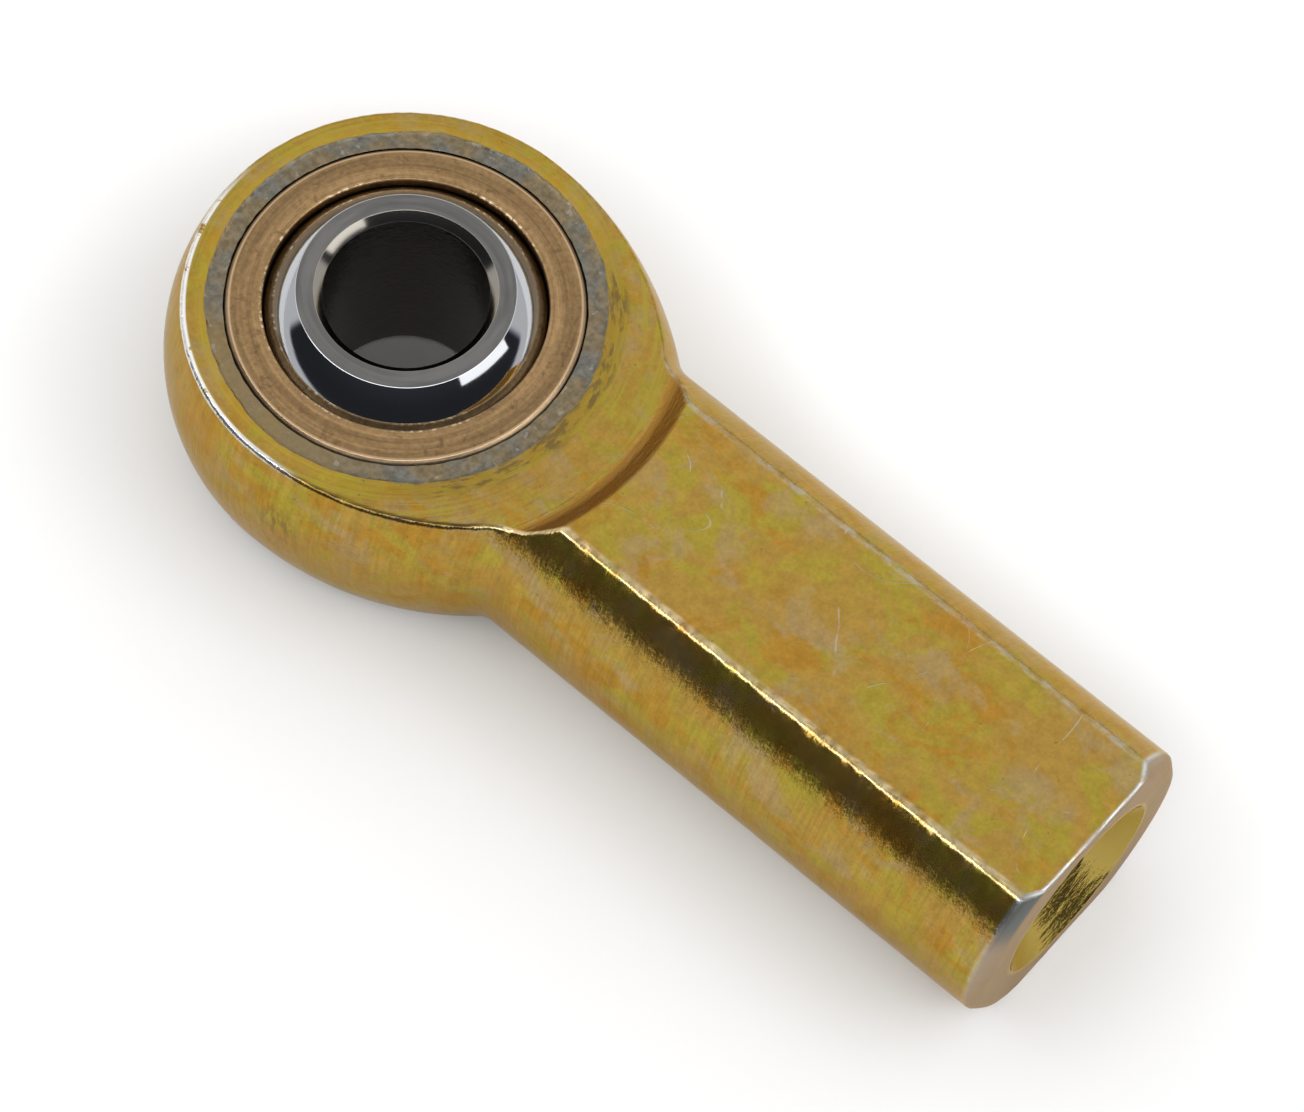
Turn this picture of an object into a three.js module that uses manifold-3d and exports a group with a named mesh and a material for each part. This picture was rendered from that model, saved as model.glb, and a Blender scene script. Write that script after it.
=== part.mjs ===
// Female rod end bearing, 1/4 inch size: a steel body with a threaded shank, a split bronze race
// staked into its head, and a bored steel ball that swivels in the race.
//
// Millimetres. The parts are drawn about the ball's centre: X runs along the shank towards its
// threaded end and Z along the ball's bore. The last lines move that centre so that the part lies
// on Z = 0, centred on X and Y.

import * as THREE from "three";
import { mergeVertices } from "three/addons/utils/BufferGeometryUtils.js";
import Module from "manifold-3d";

const wasm = await Module();
wasm.setup();

const INCH = 25.4;

// Driving dimensions.
const BORE_RADIUS = 0.25 * INCH / 2;
const BALL_RADIUS = 0.5 * INCH / 2;
const BALL_WIDTH = 0.375 * INCH;
const HEAD_THICKNESS = 0.297 * INCH;
const HEAD_RADIUS = 9.28;
const BARREL_RADIUS = 0.469 * INCH / 2;
const ACROSS_FLATS = 0.375 * INCH;
const CENTRE_TO_END = 1.312 * INCH;
const THREAD_PITCH = INCH / 28;
const THREAD_MAJOR_RADIUS = 0.25 * INCH / 2;
const THREAD_LENGTH = 0.75 * INCH;

// Head and neck.
const HEAD_FACE_Z = HEAD_THICKNESS / 2;
const FLAT_Z = ACROSS_FLATS / 2;
const SHOULDER_RADIUS = 13.8;
const NECK_FILLET = 1.5;
const FACING_RADIUS = 10.55;
const FACING_FILLET = 0.35;
const END_CHAMFER = 0.4;

// Race and its seat in the head.
const RACE_RADIUS = 7.45;
const RACE_HALF_WIDTH = HEAD_FACE_Z;
const RACE_OPENING_RADIUS = 5.45;
const RACE_FACE_RADIUS = 6.72;
const RACE_BEVEL_DEPTH = 0.7;
const RACE_EDGE = 0.12;
const SWIVEL_CLEARANCE = 0.05;
const SEAT_GAP = 0.03;

// Staking: the punched ring around the race and the lip it pushes over the race's bevel.
const STAKED_RADIUS = 7.65;
const STAKED_DEPTH = 0.1;
const LIP_RADIUS = 6.86;

// Ball.
const BORE_CHAMFER = 0.32;

// Threaded hole.
const THREAD_HEIGHT = THREAD_PITCH * Math.sqrt(3) / 2;
const THREAD_MINOR_RADIUS = THREAD_MAJOR_RADIUS - THREAD_HEIGHT * 5 / 8;
const COUNTERSINK_RADIUS = 3.9;
const DRILL_DEPTH = THREAD_LENGTH + 1.5;
const DRILL_POINT_ANGLE = THREE.MathUtils.degToRad(118 / 2);

// Facets.
const SHANK_SEGMENTS = 64;
const BORE_SEGMENTS = 64;
const HOLE_SEGMENTS = 16;
const ARC_STEP = THREE.MathUtils.degToRad(7.5);

const OVERSHOOT = 1;

const YELLOW_ZINC = { color: 0xb08c3a, roughness: 0.38, metalness: 0.9 };
const BRONZE = { color: 0xa87a50, roughness: 0.45, metalness: 0.9 };
const HARD_CHROME = { color: 0xb8bcc2, roughness: 0.1, metalness: 1.0 };

// Points on a circle of a section, from one angle to another, ends included.
function arc(centreX, centreY, radius, from, to) {
  const steps = Math.max(1, Math.ceil(Math.abs(to - from) / ARC_STEP));
  return Array.from({ length: steps + 1 }, (_, i) => {
    const angle = from + (to - from) * i / steps;
    return new THREE.Vector2(centreX + radius * Math.cos(angle), centreY + radius * Math.sin(angle));
  });
}

function point(x, y) {
  return new THREE.Vector2(x, y);
}

// Turns a closed section of (radius, height) points about Z. The section runs anticlockwise.
function turnedAboutZ(section, segments) {
  const geometry = new THREE.LatheGeometry([...section, section[0].clone()], segments);
  return geometry.rotateX(Math.PI / 2);
}

// Turns a closed section of (radius, distance along the shank) points about X.
function turnedAboutX(section, segments) {
  return turnedAboutZ(section, segments).rotateY(Math.PI / 2);
}

// A section turned over in its second coordinate, still anticlockwise.
function mirrored(section) {
  return section.map((p) => point(p.x, -p.y)).reverse();
}

function toSolid(geometry) {
  const bare = geometry.clone();
  bare.deleteAttribute("normal");
  bare.deleteAttribute("uv");
  const welded = mergeVertices(bare, 1e-5);
  return new wasm.Manifold(new wasm.Mesh({
    numProp: 3,
    vertProperties: new Float32Array(welded.attributes.position.array),
    triVerts: new Uint32Array(welded.index.array),
  }));
}

function toGeometry(solid) {
  const mesh = solid.getMesh();
  const geometry = new THREE.BufferGeometry();
  geometry.setAttribute("position", new THREE.BufferAttribute(new Float32Array(mesh.vertProperties), 3));
  geometry.setIndex(new THREE.BufferAttribute(new Uint32Array(mesh.triVerts), 1));
  geometry.computeVertexNormals();
  return geometry;
}

// The blank turned from bar: a ball-shaped head whose shoulder runs on, from its widest point, as
// an arc of larger radius, a small neck fillet, the barrel and its end chamfer.
function turnedBlank() {
  const shoulderY = HEAD_RADIUS - SHOULDER_RADIUS;
  const reach = SHOULDER_RADIUS + NECK_FILLET;
  const filletY = BARREL_RADIUS + NECK_FILLET;
  const neckAngle = Math.asin((filletY - shoulderY) / reach);
  const filletX = reach * Math.cos(neckAngle);
  const profile = [
    ...arc(0, 0, HEAD_RADIUS, Math.PI, Math.PI / 2),
    ...arc(0, shoulderY, SHOULDER_RADIUS, Math.PI / 2, neckAngle).slice(1),
    ...arc(filletX, filletY, NECK_FILLET, Math.PI + neckAngle, Math.PI * 3 / 2).slice(1),
    point(CENTRE_TO_END - END_CHAMFER, BARREL_RADIUS),
    point(CENTRE_TO_END, BARREL_RADIUS - END_CHAMFER),
    point(CENTRE_TO_END, 0),
  ];
  profile[0].y = 0;
  return toSolid(turnedAboutX(profile.map((p) => point(p.y, p.x)), SHANK_SEGMENTS));
}

// Section of what the facing tool takes off one side of the head: flat inside, with a 45 degree
// rim that leaves the crescent step where the head meets the wrench flat.
function facingSection() {
  const rise = HEAD_RADIUS;
  const filletX = FACING_RADIUS - FACING_FILLET * Math.tan(Math.PI / 8);
  const filletZ = HEAD_FACE_Z + FACING_FILLET;
  return [
    point(0, HEAD_FACE_Z),
    ...arc(filletX, filletZ, FACING_FILLET, -Math.PI / 2, -Math.PI / 4),
    point(FACING_RADIUS + rise, HEAD_FACE_Z + rise),
    point(0, HEAD_FACE_Z + rise),
  ];
}

// What is milled off one side of the shank to leave a wrench flat.
function wrenchFlatCut(side) {
  const height = HEAD_RADIUS;
  const box = new THREE.BoxGeometry(2 * CENTRE_TO_END, 4 * HEAD_RADIUS, height);
  box.translate(CENTRE_TO_END, 0, side * (FLAT_Z + height / 2));
  return toSolid(box);
}

// The race's seat through the head, closed at each face by the staked lip, with the punched ring
// around it.
function raceSeatCut() {
  const seat = RACE_RADIUS + SEAT_GAP;
  const bevelTop = HEAD_FACE_Z - STAKED_DEPTH - RACE_EDGE;
  const bevelFoot = HEAD_FACE_Z - RACE_BEVEL_DEPTH + SEAT_GAP;
  const upperRim = [
    point(seat, bevelFoot),
    point(LIP_RADIUS, bevelTop),
    point(LIP_RADIUS + RACE_EDGE, HEAD_FACE_Z - STAKED_DEPTH),
    point(STAKED_RADIUS - STAKED_DEPTH, HEAD_FACE_Z - STAKED_DEPTH),
    point(STAKED_RADIUS, HEAD_FACE_Z),
    point(STAKED_RADIUS + OVERSHOOT, HEAD_FACE_Z + OVERSHOOT),
    point(0, HEAD_FACE_Z + OVERSHOOT),
  ];
  return toSolid(turnedAboutZ([...mirrored(upperRim), ...upperRim], BORE_SEGMENTS));
}

// The tap drill's hole, with its conical bottom and the countersink at its mouth.
function drilledHole() {
  const bottom = CENTRE_TO_END - DRILL_DEPTH;
  const sink = COUNTERSINK_RADIUS - THREAD_MINOR_RADIUS;
  const section = [
    point(0, bottom - THREAD_MINOR_RADIUS / Math.tan(DRILL_POINT_ANGLE)),
    point(THREAD_MINOR_RADIUS, bottom),
    point(THREAD_MINOR_RADIUS, CENTRE_TO_END - sink),
    point(COUNTERSINK_RADIUS + OVERSHOOT, CENTRE_TO_END + OVERSHOOT),
    point(0, CENTRE_TO_END + OVERSHOOT),
  ];
  return toSolid(turnedAboutX(section, HOLE_SEGMENTS));
}

// One continuous groove of 60 degree thread form, as a strip wound along a helix about X.
function threadGroove() {
  const rootHalf = THREAD_PITCH / 16;
  const inner = THREAD_MINOR_RADIUS - THREAD_HEIGHT / 8;
  const mouthHalf = rootHalf + (THREAD_MAJOR_RADIUS - inner) * Math.tan(Math.PI / 6);
  const section = [
    [inner, -mouthHalf],
    [THREAD_MAJOR_RADIUS, -rootHalf],
    [THREAD_MAJOR_RADIUS, rootHalf],
    [inner, mouthHalf],
  ];
  const start = CENTRE_TO_END - THREAD_LENGTH;
  const steps = Math.ceil(HOLE_SEGMENTS * (THREAD_LENGTH + OVERSHOOT) / THREAD_PITCH);
  const positions = [];
  for (let i = 0; i <= steps; i += 1) {
    const angle = 2 * Math.PI * i / HOLE_SEGMENTS;
    const along = start + THREAD_PITCH * i / HOLE_SEGMENTS;
    for (const [radius, offset] of section) {
      positions.push(along + offset, radius * Math.cos(angle), radius * Math.sin(angle));
    }
  }
  const corners = section.length;
  const faces = [0, 1, 2, 0, 2, 3];
  for (let i = 0; i < steps; i += 1) {
    for (let k = 0; k < corners; k += 1) {
      const a = i * corners + k;
      const b = i * corners + (k + 1) % corners;
      faces.push(a, a + corners, b, b, a + corners, b + corners);
    }
  }
  const last = steps * corners;
  faces.push(last, last + 2, last + 1, last, last + 3, last + 2);
  const geometry = new THREE.BufferGeometry();
  geometry.setAttribute("position", new THREE.Float32BufferAttribute(positions, 3));
  geometry.setIndex(faces);
  return toSolid(geometry);
}

function rodEndBody() {
  const facing = facingSection();
  let solid = turnedBlank()
    .subtract(toSolid(turnedAboutZ(facing, SHANK_SEGMENTS)))
    .subtract(toSolid(turnedAboutZ(mirrored(facing), SHANK_SEGMENTS)));
  for (const side of [1, -1]) {
    solid = solid.subtract(wrenchFlatCut(side));
  }
  solid = solid
    .subtract(raceSeatCut())
    .subtract(drilledHole())
    .subtract(threadGroove());
  return toGeometry(solid);
}

// The upper half of the race, split at the ball's equator. Its outer corner is bevelled for the
// staked lip, and its inner corner is relieved so that the ball can lean.
function raceHalfSection() {
  const seat = BALL_RADIUS + SWIVEL_CLEARANCE;
  const split = SEAT_GAP / 2;
  const reliefAngle = Math.acos(RACE_OPENING_RADIUS / seat);
  const bore = arc(0, 0, seat, reliefAngle, Math.asin(split / seat));
  return [
    point(RACE_RADIUS, split),
    point(RACE_RADIUS, RACE_HALF_WIDTH - RACE_BEVEL_DEPTH),
    point(RACE_FACE_RADIUS, RACE_HALF_WIDTH - RACE_EDGE),
    point(RACE_FACE_RADIUS - RACE_EDGE, RACE_HALF_WIDTH),
    point(RACE_OPENING_RADIUS, RACE_HALF_WIDTH),
    ...bore,
  ];
}

// The ball: a truncated sphere with a straight bore, chamfered at both mouths.
function ballGeometry() {
  const halfWidth = BALL_WIDTH / 2;
  const faceAngle = Math.asin(halfWidth / BALL_RADIUS);
  const section = [
    point(BORE_RADIUS, -halfWidth + BORE_CHAMFER),
    point(BORE_RADIUS + BORE_CHAMFER, -halfWidth),
    ...arc(0, 0, BALL_RADIUS, -faceAngle, faceAngle),
    point(BORE_RADIUS + BORE_CHAMFER, halfWidth),
    point(BORE_RADIUS, halfWidth - BORE_CHAMFER),
  ];
  return turnedAboutZ(section, BORE_SEGMENTS);
}

function piece(name, geometry, finish) {
  const mesh = new THREE.Mesh(geometry, new THREE.MeshStandardMaterial(finish));
  mesh.name = name;
  return mesh;
}

const upperSection = raceHalfSection();

const group = new THREE.Group();
group.name = "rod_end_bearing";
group.add(
  piece("rod_end_body", rodEndBody(), YELLOW_ZINC),
  piece("upper_race_half", turnedAboutZ(upperSection, BORE_SEGMENTS), BRONZE),
  piece("lower_race_half", turnedAboutZ(mirrored(upperSection), BORE_SEGMENTS), BRONZE),
  piece("ball", ballGeometry(), HARD_CHROME),
);
group.position.set((HEAD_RADIUS - CENTRE_TO_END) / 2, 0, BALL_WIDTH / 2);

export default group;
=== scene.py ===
"""Looks of a 1/4 inch female rod end bearing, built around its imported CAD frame.

Sizes are in millimetres about the ball's centre, as in the CAD source: X runs along the shank
towards its threaded end and Z along the ball's bore. Meshes are made in metres in the row frame.
The near side is -Y and the far side is +Y.
"""
import math

import bpy
import numpy as np
from mathutils import Matrix, Vector, noise


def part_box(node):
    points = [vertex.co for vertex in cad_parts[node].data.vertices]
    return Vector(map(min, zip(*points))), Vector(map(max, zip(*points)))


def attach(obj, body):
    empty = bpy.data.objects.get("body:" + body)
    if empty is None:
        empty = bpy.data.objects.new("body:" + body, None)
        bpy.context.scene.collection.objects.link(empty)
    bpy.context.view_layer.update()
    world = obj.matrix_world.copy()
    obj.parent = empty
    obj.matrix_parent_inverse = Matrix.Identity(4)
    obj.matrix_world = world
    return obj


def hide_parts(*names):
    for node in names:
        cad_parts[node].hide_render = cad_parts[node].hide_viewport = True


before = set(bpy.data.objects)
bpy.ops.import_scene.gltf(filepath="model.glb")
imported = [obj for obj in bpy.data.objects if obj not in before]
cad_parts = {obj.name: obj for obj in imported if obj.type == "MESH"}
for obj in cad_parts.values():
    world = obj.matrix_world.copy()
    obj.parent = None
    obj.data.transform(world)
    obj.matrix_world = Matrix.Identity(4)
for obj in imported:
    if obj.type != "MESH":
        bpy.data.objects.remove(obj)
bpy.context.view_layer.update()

MM = 0.001
ball_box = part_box("ball")
body_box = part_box("rod_end_body")
race_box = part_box("upper_race_half")
BALL_CENTRE = (ball_box[0] + ball_box[1]) / 2

# ---------------------------------------------------------------- sizes taken from the frame
BALL_RADIUS = (ball_box[1].x - ball_box[0].x) / 2 / MM
BALL_HALF_WIDTH = (ball_box[1].z - ball_box[0].z) / 2 / MM
HEAD_RADIUS = (BALL_CENTRE.x - body_box[0].x) / MM
SHANK_END = (body_box[1].x - BALL_CENTRE.x) / MM
FLAT_Z = (body_box[1].z - body_box[0].z) / 2 / MM
FACE_Z = (race_box[1].z - BALL_CENTRE.z) / MM
RACE_RADIUS = (race_box[1].x - race_box[0].x) / 2 / MM

# ---------------------------------------------------------------- sizes shared with the CAD source
INCH = 25.4
BARREL_RADIUS = 0.469 * INCH / 2
SHOULDER_RADIUS = 13.8
NECK_FILLET = 1.5
FACING_RADIUS = 10.55
FACING_FILLET = 0.35
END_CHAMFER = 0.4
SEAT_GAP = 0.03
RACE_BEVEL_DEPTH = 0.7
RACE_OPENING_RADIUS = 5.45
RACE_FACE_RADIUS = 6.72
SWIVEL_CLEARANCE = 0.05
LIP_RADIUS = 6.86
STAKED_RADIUS = 7.65
STAKED_DEPTH = 0.1
BORE_RADIUS = 0.25 * INCH / 2
BORE_CHAMFER = 0.32
THREAD_PITCH = INCH / 28
THREAD_MAJOR = 0.25 * INCH / 2
THREAD_MINOR = THREAD_MAJOR - THREAD_PITCH * math.sqrt(3) / 2 * 5 / 8
THREAD_LENGTH = 0.75 * INCH
DRILL_DEPTH = THREAD_LENGTH + 1.5
DRILL_POINT_ANGLE = 118
COUNTERSINK_RADIUS = 3.9

# ---------------------------------------------------------------- finish, finer than the CAD
HEAD_EDGE_ROUND = 0.17
SHANK_EDGE_ROUND = 0.13
HEAD_TO_SHANK = (7.0, 9.0)
END_ROUND = 0.07
CRESCENT_ROUND = 0.12
EDGE_NICK = 0.035
NICK_REACH = 0.17
WEAR_REACH = 0.13
DENT_SIZE = 1.1
CHATTER_SIZE = 0.30
TOOL_MARK = 0.005
TOOL_MARK_SEED = 4
THREAD_RUNOUT = 0.3
GROOVE_FLATNESS = 1.15
GROOVE_SLOPE = 1.5
HOLE_REACH = DRILL_DEPTH + 1.9
RACE_RIPPLE = 0.004
RACE_FACE_ROUND = 0.1
RACE_SPLIT_ROUND = 0.05
RACE_MOUTH_ROUND = 0.03
BALL_RIM_ROUND = 0.09
BORE_MOUTH_ROUND = 0.03
BORE_EDGE_ROUND = 0.04

# ---------------------------------------------------------------- fineness of the meshes
LATHE_SEGMENTS = 256
SEAT_SEGMENTS = 384
THREAD_SEGMENTS = 96
THREAD_ROWS_PER_TURN = 14
RACE_FACE_STEPS = 36
OVERSHOOT = 1.0

# (start, stop, step): degrees from the head's pole, then millimetres along the shank
POLAR_STEPS = ((1.0, 20.0, 1.0), (20.0, 32.0, 0.35), (32.0, 90.0, 0.8))
AXIAL_STEPS = ((0.0, 8.0, 0.13), (8.0, 12.2, 0.055), (12.2, SHANK_END - 3.0, 0.11))
# degrees of the rows that fan out over the shank's end
END_FAN = np.concatenate([np.linspace(0, 60, 44), np.linspace(60, 88, 12)[1:]])

# points from the side to the top: up to the edge, crowded around it, and past it
SIDE_STEPS = 30
EDGE_STEPS = 25
TOP_STEPS = 31
EDGE_BAND = 0.9
CROWDING = 1.3


# ================================================================ mesh helpers
def to_row(points):
    """Millimetres about the ball's centre to metres in the row frame."""
    return np.asarray(points, float) * MM + np.array(BALL_CENTRE)


def grid_faces(count, around, joined=False):
    """Quads between rows of points that run round. Joined links the last row to the first."""
    faces = []
    for i in range(count if joined else count - 1):
        row = i * around
        next_row = (i + 1) % count * around
        for k in range(around):
            beside = (k + 1) % around
            faces.append((row + k, row + beside, next_row + beside, next_row + k))
    return faces


def closed_grid(rows, first_pole, last_pole):
    """Vertices and faces of a tube whose rows are closed loops, with a pole closing each end."""
    rows = np.asarray(rows)
    count, around = rows.shape[:2]
    vertices = rows.reshape(-1, 3).tolist()
    faces = grid_faces(count, around)
    for pole, start, turn in ((first_pole, 0, -1), (last_pole, (count - 1) * around, 1)):
        vertices.append(tuple(pole))
        tip = len(vertices) - 1
        for k in range(around):
            pair = (start + k, start + (k + 1) % around)
            faces.append((*pair[::turn], tip))
    return vertices, faces


def make_object(name, vertices, faces):
    mesh = bpy.data.meshes.new(name)
    mesh.from_pydata(to_row(vertices).tolist(), [], faces)
    mesh.validate()
    mesh.update()
    piece = bpy.data.objects.new(name, mesh)
    bpy.context.scene.collection.objects.link(piece)
    return piece


def lathe_rings(profile, segments=LATHE_SEGMENTS):
    """One ring of points around Z for each (radius, height) of the profile."""
    profile = np.asarray(profile, float)
    angle = np.linspace(0, 2 * math.pi, segments, endpoint=False)
    radius = profile[:, :1]
    height = np.repeat(profile[:, 1:], segments, axis=1)
    return np.stack([radius * np.cos(angle), radius * np.sin(angle), height], -1)


def ring_solid(name, profile):
    """A closed ring: the profile is a closed anticlockwise section that stays off the axis."""
    rings = lathe_rings(profile)
    count, around = rings.shape[:2]
    return make_object(name, rings.reshape(-1, 3), grid_faces(count, around, joined=True))


def arc(centre, radius, start, end, steps):
    angles = np.linspace(start, end, steps + 1)
    return [(centre[0] + radius * math.cos(a), centre[1] + radius * math.sin(a)) for a in angles]


def rounded_corner(before, corner, after, radius, steps=4):
    """Points of a small round that replaces the corner between two straight sides."""
    corner = np.array(corner, float)
    arm_in = np.array(before, float) - corner
    arm_out = np.array(after, float) - corner
    arm_in /= np.linalg.norm(arm_in)
    arm_out /= np.linalg.norm(arm_out)
    half = math.acos(np.clip(arm_in @ arm_out, -1, 1)) / 2
    start = corner + arm_in * radius / math.tan(half)
    end = corner + arm_out * radius / math.tan(half)
    points = []
    for t in np.linspace(0, 1, steps + 1):
        points.append(tuple((1 - t) ** 2 * start + 2 * t * (1 - t) * corner + t * t * end))
    return points


def shade(piece, sharp_angle=math.radians(35)):
    """Smooth faces, with a crease wherever two faces meet at more than the sharp angle."""
    mesh = piece.data
    mesh.polygons.foreach_set("use_smooth", np.ones(len(mesh.polygons), bool))
    mesh.set_sharp_from_angle(angle=sharp_angle)


def local_points(piece):
    """The piece's vertices in millimetres about the ball's centre."""
    flat = np.zeros(len(piece.data.vertices) * 3)
    piece.data.vertices.foreach_get("co", flat)
    return (flat.reshape(-1, 3) - np.array(BALL_CENTRE)) / MM


def add_mask(piece, name, values):
    attribute = piece.data.attributes.new(name, "FLOAT", "POINT")
    attribute.data.foreach_set("value", np.asarray(values, np.float32))


def smoothstep(low, high, value):
    t = np.clip((value - low) / (high - low), 0, 1)
    return t * t * (3 - 2 * t)


def wobble(points, size, seed):
    """Perlin noise of about -1 to 1 at each point, with features of the given size."""
    offset = Vector((seed, seed * 2, -seed))
    return np.array([noise.noise(Vector(p) / size + offset) for p in points])


# ================================================================ the body's shape
def rounded_max(a, b, radius):
    """Where both fields cut, the edge between them is round."""
    past_both = np.hypot(np.maximum(a + radius, 0), np.maximum(b + radius, 0))
    return np.minimum(-radius, np.maximum(a, b)) + past_both


def rounded_min(a, b, radius):
    return -rounded_max(-a, -b, radius)


def turned_field(x, radius):
    """Distance outside the turned blank: ball head, shoulder arc, neck fillet and barrel."""
    shoulder_y = HEAD_RADIUS - SHOULDER_RADIUS
    fillet_y = BARREL_RADIUS + NECK_FILLET
    fillet_x = math.sqrt((SHOULDER_RADIUS + NECK_FILLET) ** 2 - (fillet_y - shoulder_y) ** 2)
    head = np.hypot(x, radius) - HEAD_RADIUS
    shoulder = np.hypot(x, radius - shoulder_y) - SHOULDER_RADIUS
    fillet = NECK_FILLET - np.hypot(x - fillet_x, radius - fillet_y)
    past_shoulder = x * (fillet_y - shoulder_y) > (radius - shoulder_y) * fillet_x
    field = np.where(x < 0, head, shoulder)
    field = np.where(past_shoulder & (x > 0), fillet, field)
    return np.where(x > fillet_x, radius - BARREL_RADIUS, field)


def end_field(x, radius):
    """Distance outside the shank's square end and its chamfer."""
    chamfer = (x - SHANK_END + radius - BARREL_RADIUS + END_CHAMFER) / math.sqrt(2)
    return rounded_max(chamfer, x - SHANK_END, END_ROUND)


def bar_field(x, y, z):
    """Distance outside the turned blank with its end cut square and chamfered."""
    radius = np.hypot(y, z)
    return rounded_max(turned_field(x, radius), end_field(x, radius), END_ROUND)


def cap_field(x, y, z):
    """What facing and milling leave: head face, crescent-shaped cone and wrench flat."""
    above_face = np.abs(z) - FACE_Z
    cone = (above_face - np.hypot(x, y) + FACING_RADIUS) / math.sqrt(2)
    faced = rounded_min(above_face, cone, FACING_FILLET)
    return rounded_max(faced, np.abs(z) - FLAT_Z, CRESCENT_ROUND)


def body_field(x, y, z):
    on_shank = smoothstep(*HEAD_TO_SHANK, x)
    edge_round = HEAD_EDGE_ROUND + (SHANK_EDGE_ROUND - HEAD_EDGE_ROUND) * on_shank
    return rounded_max(bar_field(x, y, z), cap_field(x, y, z), edge_round)


def solve_rays(field, origins, directions, reach=14.0, halvings=40):
    """Where each ray leaves the solid, by halving the stretch that holds the crossing."""
    low = np.zeros(directions.shape[:-1])
    high = np.full(directions.shape[:-1], reach)
    for _ in range(halvings):
        middle = (low + high) / 2
        points = origins + directions * middle[..., None]
        inside = field(points[..., 0], points[..., 1], points[..., 2]) < 0
        low = np.where(inside, middle, low)
        high = np.where(inside, high, middle)
    return (low + high) / 2


def ray_rows():
    """Origins on the shank's axis and cone angles for each row, from the head's pole to the end."""
    polar = np.radians(np.concatenate([np.arange(*part) for part in POLAR_STEPS]))
    along = np.concatenate([np.arange(*part) for part in AXIAL_STEPS])
    fan = np.radians(END_FAN)
    origins = np.concatenate([np.zeros(len(polar)), along, np.full(len(fan), along[-1] + 0.1)])
    lean = np.concatenate([polar - math.pi / 2, np.zeros(len(along)), fan])
    return origins, lean


def ray_directions(lean, turn):
    """Unit vectors: lean is the tilt towards +X, turn the angle about the shank from +Y to +Z."""
    across = np.cos(lean)
    return np.stack([np.sin(lean), across * np.cos(turn), across * np.sin(turn)], -1)


def edge_turn(origins, lean, halvings=30):
    """For each row, where the turned side meets the top: its angle about the shank, and reach."""
    at_side = ray_directions(lean, np.zeros_like(lean))
    start = np.stack([origins, np.zeros_like(origins), np.zeros_like(origins)], -1)
    distance = solve_rays(bar_field, start, at_side)
    low = np.zeros_like(lean)
    high = np.full_like(lean, math.pi / 2)
    for _ in range(halvings):
        middle = (low + high) / 2
        p = start + ray_directions(lean, middle) * distance[:, None]
        below = cap_field(p[:, 0], p[:, 1], p[:, 2]) < 0
        low = np.where(below, middle, low)
        high = np.where(below, high, middle)
    return (low + high) / 2, distance


def quadrant_turns(edge, distance, lean):
    """Angles from the side (0) to the top (90 degrees), crowded around the edge."""
    side_width = np.minimum(EDGE_BAND / (distance * np.cos(lean)), edge * 0.5)
    top_width = np.minimum(side_width * np.sin(edge), (math.pi / 2 - edge) * 0.5)
    side_share = np.linspace(0, 1, SIDE_STEPS, endpoint=False)[None, :]
    side = side_share * (edge - side_width)[:, None]
    crowd = np.linspace(-1, 1, EDGE_STEPS)[None, :]
    crowd = np.sign(crowd) * np.abs(crowd) ** CROWDING
    width = np.where(crowd < 0, side_width[:, None], top_width[:, None])
    around = edge[:, None] + crowd * width
    top_start = (edge + top_width)[:, None]
    top = top_start + (math.pi / 2 - top_start) * np.linspace(0, 1, TOP_STEPS)[None, 1:]
    return np.concatenate([side, around, top], 1)


def body_outside():
    """The body's outer surface as rows of points around the shank's axis."""
    origins, lean = ray_rows()
    edge, distance = edge_turn(origins, lean)
    quadrant = quadrant_turns(edge, distance, lean)
    mirrored = math.pi - quadrant[:, -2:0:-1]
    half = np.concatenate([quadrant, mirrored], 1)
    turn = np.concatenate([half, half + math.pi], 1)
    directions = ray_directions(np.repeat(lean[:, None], turn.shape[1], 1), turn)
    start = np.zeros_like(directions)
    start[..., 0] = origins[:, None]
    reached = solve_rays(body_field, start, directions)
    points = start + directions * reached[..., None]
    return points - directions * tool_marks(points)[..., None]


def tool_marks(points):
    """How far the lathe's fine rings and the knocks along the edges sink into the surface."""
    x, y, z = points[..., 0], points[..., 1], points[..., 2]
    turned = smoothstep(-0.05, 0.0, bar_field(x, y, z) - cap_field(x, y, z))
    random = np.random.default_rng(TOOL_MARK_SEED)
    rings = random.uniform(0, TOOL_MARK, len(points))[:, None] * turned
    edge = nearness(bar_field(x, y, z), cap_field(x, y, z), NICK_REACH)
    near_edge = edge > 0.02
    knocks = np.zeros_like(edge)
    places = points[near_edge]
    chatter = wobble(places, CHATTER_SIZE, seed=5.0)
    dents = smoothstep(0.45, 0.75, wobble(places, DENT_SIZE, seed=12.0))
    deeper = 1 + 0.5 * smoothstep(9.5, 10.5, places[:, 0])
    knocks[near_edge] = EDGE_NICK * deeper * (0.6 * chatter + 0.9 * dents)
    return rings + knocks * edge


def nearness(a, b, reach):
    """1 on the edge where two surfaces meet, both at distance 0, falling to 0 around it."""
    return np.exp(-(np.hypot(a, b) / reach) ** 2)


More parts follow.
